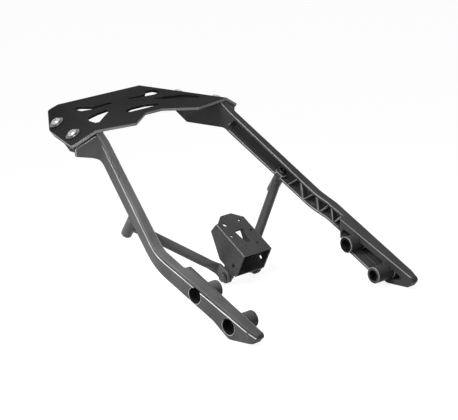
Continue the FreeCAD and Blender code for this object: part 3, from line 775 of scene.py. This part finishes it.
@dataclass
class SmallHardware:
    """Hidden screws, plugs, bolts and nuts, with broken edges.

    Args:
        node: CAD node that it stands for.
        finish: Material of the steel.
        edges: Form of the broken edges.
    """

    node: str
    finish: bpy.types.Material
    edges: EdgeBreak = HARDWARE_BREAK

    def build(self) -> bpy.types.Object:
        """Models the hardware.

        Returns:
            The finished hardware.
        """
        piece = Bench.copy_node(self.node, f"{self.node}_steel")
        Bench.flatten(piece)
        Bench.break_edges(piece, self.edges)
        Bench.shade(piece, self.edges.smooth)
        Bench.paint(piece, self.finish)
        return Bench.hand_over(piece, Slot.HIDDEN, self.node)


@dataclass(frozen=True)
class SoftBox:
    """Soft box that looks at a point, in metres.

    Args:
        name: Name of the lamp.
        place: Where it stands.
        aim: Point that it looks at.
        size: Width and height.
        watts: Power.
        beam: Angle that its grid lets through, in degrees.
    """

    name: str
    place: Point
    aim: Point
    size: Pair
    watts: float
    beam: float = 180.0

    def build(self) -> None:
        """Adds the lamp."""
        data = bpy.data.lights.new(self.name, "AREA")
        data.shape = "RECTANGLE"
        data.size, data.size_y = self.size
        data.energy = self.watts
        data.spread = math.radians(self.beam)
        lamp = bpy.data.objects.new(self.name, data)
        bpy.context.scene.collection.objects.link(lamp)
        lamp.location = self.place
        lamp.rotation_euler = (Vector(self.aim) - Vector(self.place)).to_track_quat("-Z", "Y").to_euler()


LAMPS = (
    SoftBox("overhead", place=(0.1, 0.1, 1.6), aim=(0.0, 0.1, -0.1), size=(1.8, 1.8), watts=2.0),
    SoftBox(
        "side key", place=(0.55, 0.2, 0.45), aim=(0.3, 0.22, -0.2), size=(0.25, 0.4), watts=3.3, beam=80.0
    ),
    SoftBox("foot light", place=(0.5, 0.45, 0.1), aim=(0.165, 0.4, -0.19), size=(0.2, 0.3), watts=1.6),
    SoftBox("front fill", place=(0.5, 2.2, 0.8), aim=(0.0, 0.15, -0.1), size=(1.0, 1.0), watts=5.0),
)


@dataclass
class Studio:
    """White sweep, soft lamps and the photo's camera, in metres.

    Args:
        eye: Place of the camera.
        right: Camera's right.
        up: Camera's up.
        lens: Focal length in millimetres.
        sensor: Width of the sensor in millimetres.
        floor_z: Height of the floor.
        floor_size: Length of the floor's sides.
        ambient: Strength of the world as light.
        glow: Strength of the floor's own white.
        matt: Grey of the floor where the camera or a reflection shows it.
        bounce: Grey of the floor for the light that it throws back.
    """

    eye: Point = (1.6722, 2.1652, 0.7404)
    right: Point = (-0.7529, 0.6576, -0.0251)
    up: Point = (-0.2274, -0.2242, 0.9476)
    lens: float = 141.5
    sensor: float = 36.0
    floor_z: float = -0.2287
    floor_size: float = 24.0
    ambient: float = 0.3
    glow: float = 0.88
    matt: float = 0.3
    bounce: float = 0.3

    def build(self) -> None:
        """Sets the camera, lamps, world and floor."""
        self.set_camera()
        for lamp in LAMPS:
            lamp.build()
        self.set_world()
        self.add_floor()
        bpy.context.scene.view_settings.view_transform = "Standard"

    def set_camera(self) -> None:
        """Adds the camera of the photo."""
        data = bpy.data.cameras.new("camera")
        data.lens = self.lens
        data.sensor_width = self.sensor
        data.sensor_fit = "HORIZONTAL"
        camera = bpy.data.objects.new("camera", data)
        bpy.context.scene.collection.objects.link(camera)
        right = Vector(self.right).normalized()
        up = Vector(self.up)
        up = (up - right * up.dot(right)).normalized()
        turn = Matrix((right, up, right.cross(up))).transposed().to_4x4()
        camera.matrix_world = Matrix.Translation(Vector(self.eye)) @ turn
        bpy.context.scene.camera = camera

    @staticmethod
    def shown(tree: bpy.types.NodeTree) -> bpy.types.NodeSocket:
        """Makes a value that is 1 for camera, mirror and glass rays and 0 for all others.

        Args:
            tree: Node tree that gets the nodes.

        Returns:
            The socket of the value.
        """
        path = tree.nodes.new("ShaderNodeLightPath")
        mirror = tree.nodes.new("ShaderNodeMath")
        mirror.operation = "MAXIMUM"
        seen = tree.nodes.new("ShaderNodeMath")
        seen.operation = "MAXIMUM"
        tree.links.new(path.outputs["Is Glossy Ray"], mirror.inputs[0])
        tree.links.new(path.outputs["Is Transmission Ray"], mirror.inputs[1])
        tree.links.new(path.outputs["Is Camera Ray"], seen.inputs[0])
        tree.links.new(mirror.outputs["Value"], seen.inputs[1])
        return seen.outputs["Value"]

    def set_world(self) -> None:
        """White for the camera and in reflections, softer as ambient light."""
        world = bpy.data.worlds.new("studio")
        bpy.context.scene.world = world
        world.use_nodes = True
        tree = world.node_tree
        background = tree.nodes["Background"]
        background.inputs["Color"].default_value = (1.0, 1.0, 1.0, 1.0)
        level = tree.nodes.new("ShaderNodeMapRange")
        level.inputs["To Min"].default_value = self.ambient
        level.inputs["To Max"].default_value = 1.0
        tree.links.new(self.shown(tree), level.inputs["Value"])
        tree.links.new(level.outputs["Result"], background.inputs["Strength"])

    def add_floor(self) -> None:
        """Adds a floor that shows white and keeps a soft shadow."""
        bpy.ops.object.select_all(action="DESELECT")
        bpy.ops.mesh.primitive_plane_add(size=self.floor_size, location=(0.0, 0.0, self.floor_z))
        floor = bpy.context.object
        floor.name = "floor"
        floor.data.materials.append(self.paper())

    def paper(self) -> bpy.types.Material:
        """Builds the floor's material.

        Returns:
            The finished material.
        """
        made = bpy.data.materials.new("paper")
        made.use_nodes = True
        tree = made.node_tree
        nodes = tree.nodes
        nodes.remove(nodes["Principled BSDF"])
        matt = nodes.new("ShaderNodeBsdfDiffuse")
        matt.inputs["Color"].default_value = (self.matt, self.matt, self.matt, 1.0)
        glow = nodes.new("ShaderNodeEmission")
        glow.inputs["Strength"].default_value = self.glow
        white = nodes.new("ShaderNodeAddShader")
        plain = nodes.new("ShaderNodeBsdfDiffuse")
        plain.inputs["Color"].default_value = (self.bounce, self.bounce, self.bounce, 1.0)
        mix = nodes.new("ShaderNodeMixShader")
        tree.links.new(matt.outputs["BSDF"], white.inputs[0])
        tree.links.new(glow.outputs["Emission"], white.inputs[1])
        tree.links.new(self.shown(tree), mix.inputs["Fac"])
        tree.links.new(plain.outputs["BSDF"], mix.inputs[1])
        tree.links.new(white.outputs["Shader"], mix.inputs[2])
        tree.links.new(mix.outputs["Shader"], nodes["Material Output"].inputs["Surface"])
        return made


def main() -> None:
    """Builds the rack in order."""
    logging.basicConfig(level=logging.INFO, format="%(name)s: %(message)s")
    cast = tuple(coat.material() for coat in (CAST_COAT, CAST_HIGHLIGHT_COAT, BORE_SHADE_COAT, CHANNEL_SHADE_COAT))
    edge = EDGE_HIGHLIGHT_COAT.material()
    tube = TUBE_COAT.material()
    black = BLACK_STEEL.material()
    for side in Side:
        Casting(side, cast).build()
        Tube(side, tube).build()
    plate = PLATE_COAT.material()
    SheetPart("carrier_plate", plate, edge, PLATE_BREAK, rim=0.5, front=0.034, low=-0.016).build()
    SheetPart("box_bracket", BOX_COAT.material(), edge, BOX_BREAK).build()
    PlateFasteners(BRIGHT_STEEL.material(), WASHER_STEEL.material()).build()
    for node in ("strut_plugs", "strut_screws", "bracket_bolts", "bracket_nuts"):
        SmallHardware(node, black).build()
    Studio().build()


if __name__ == "__main__":
    main()
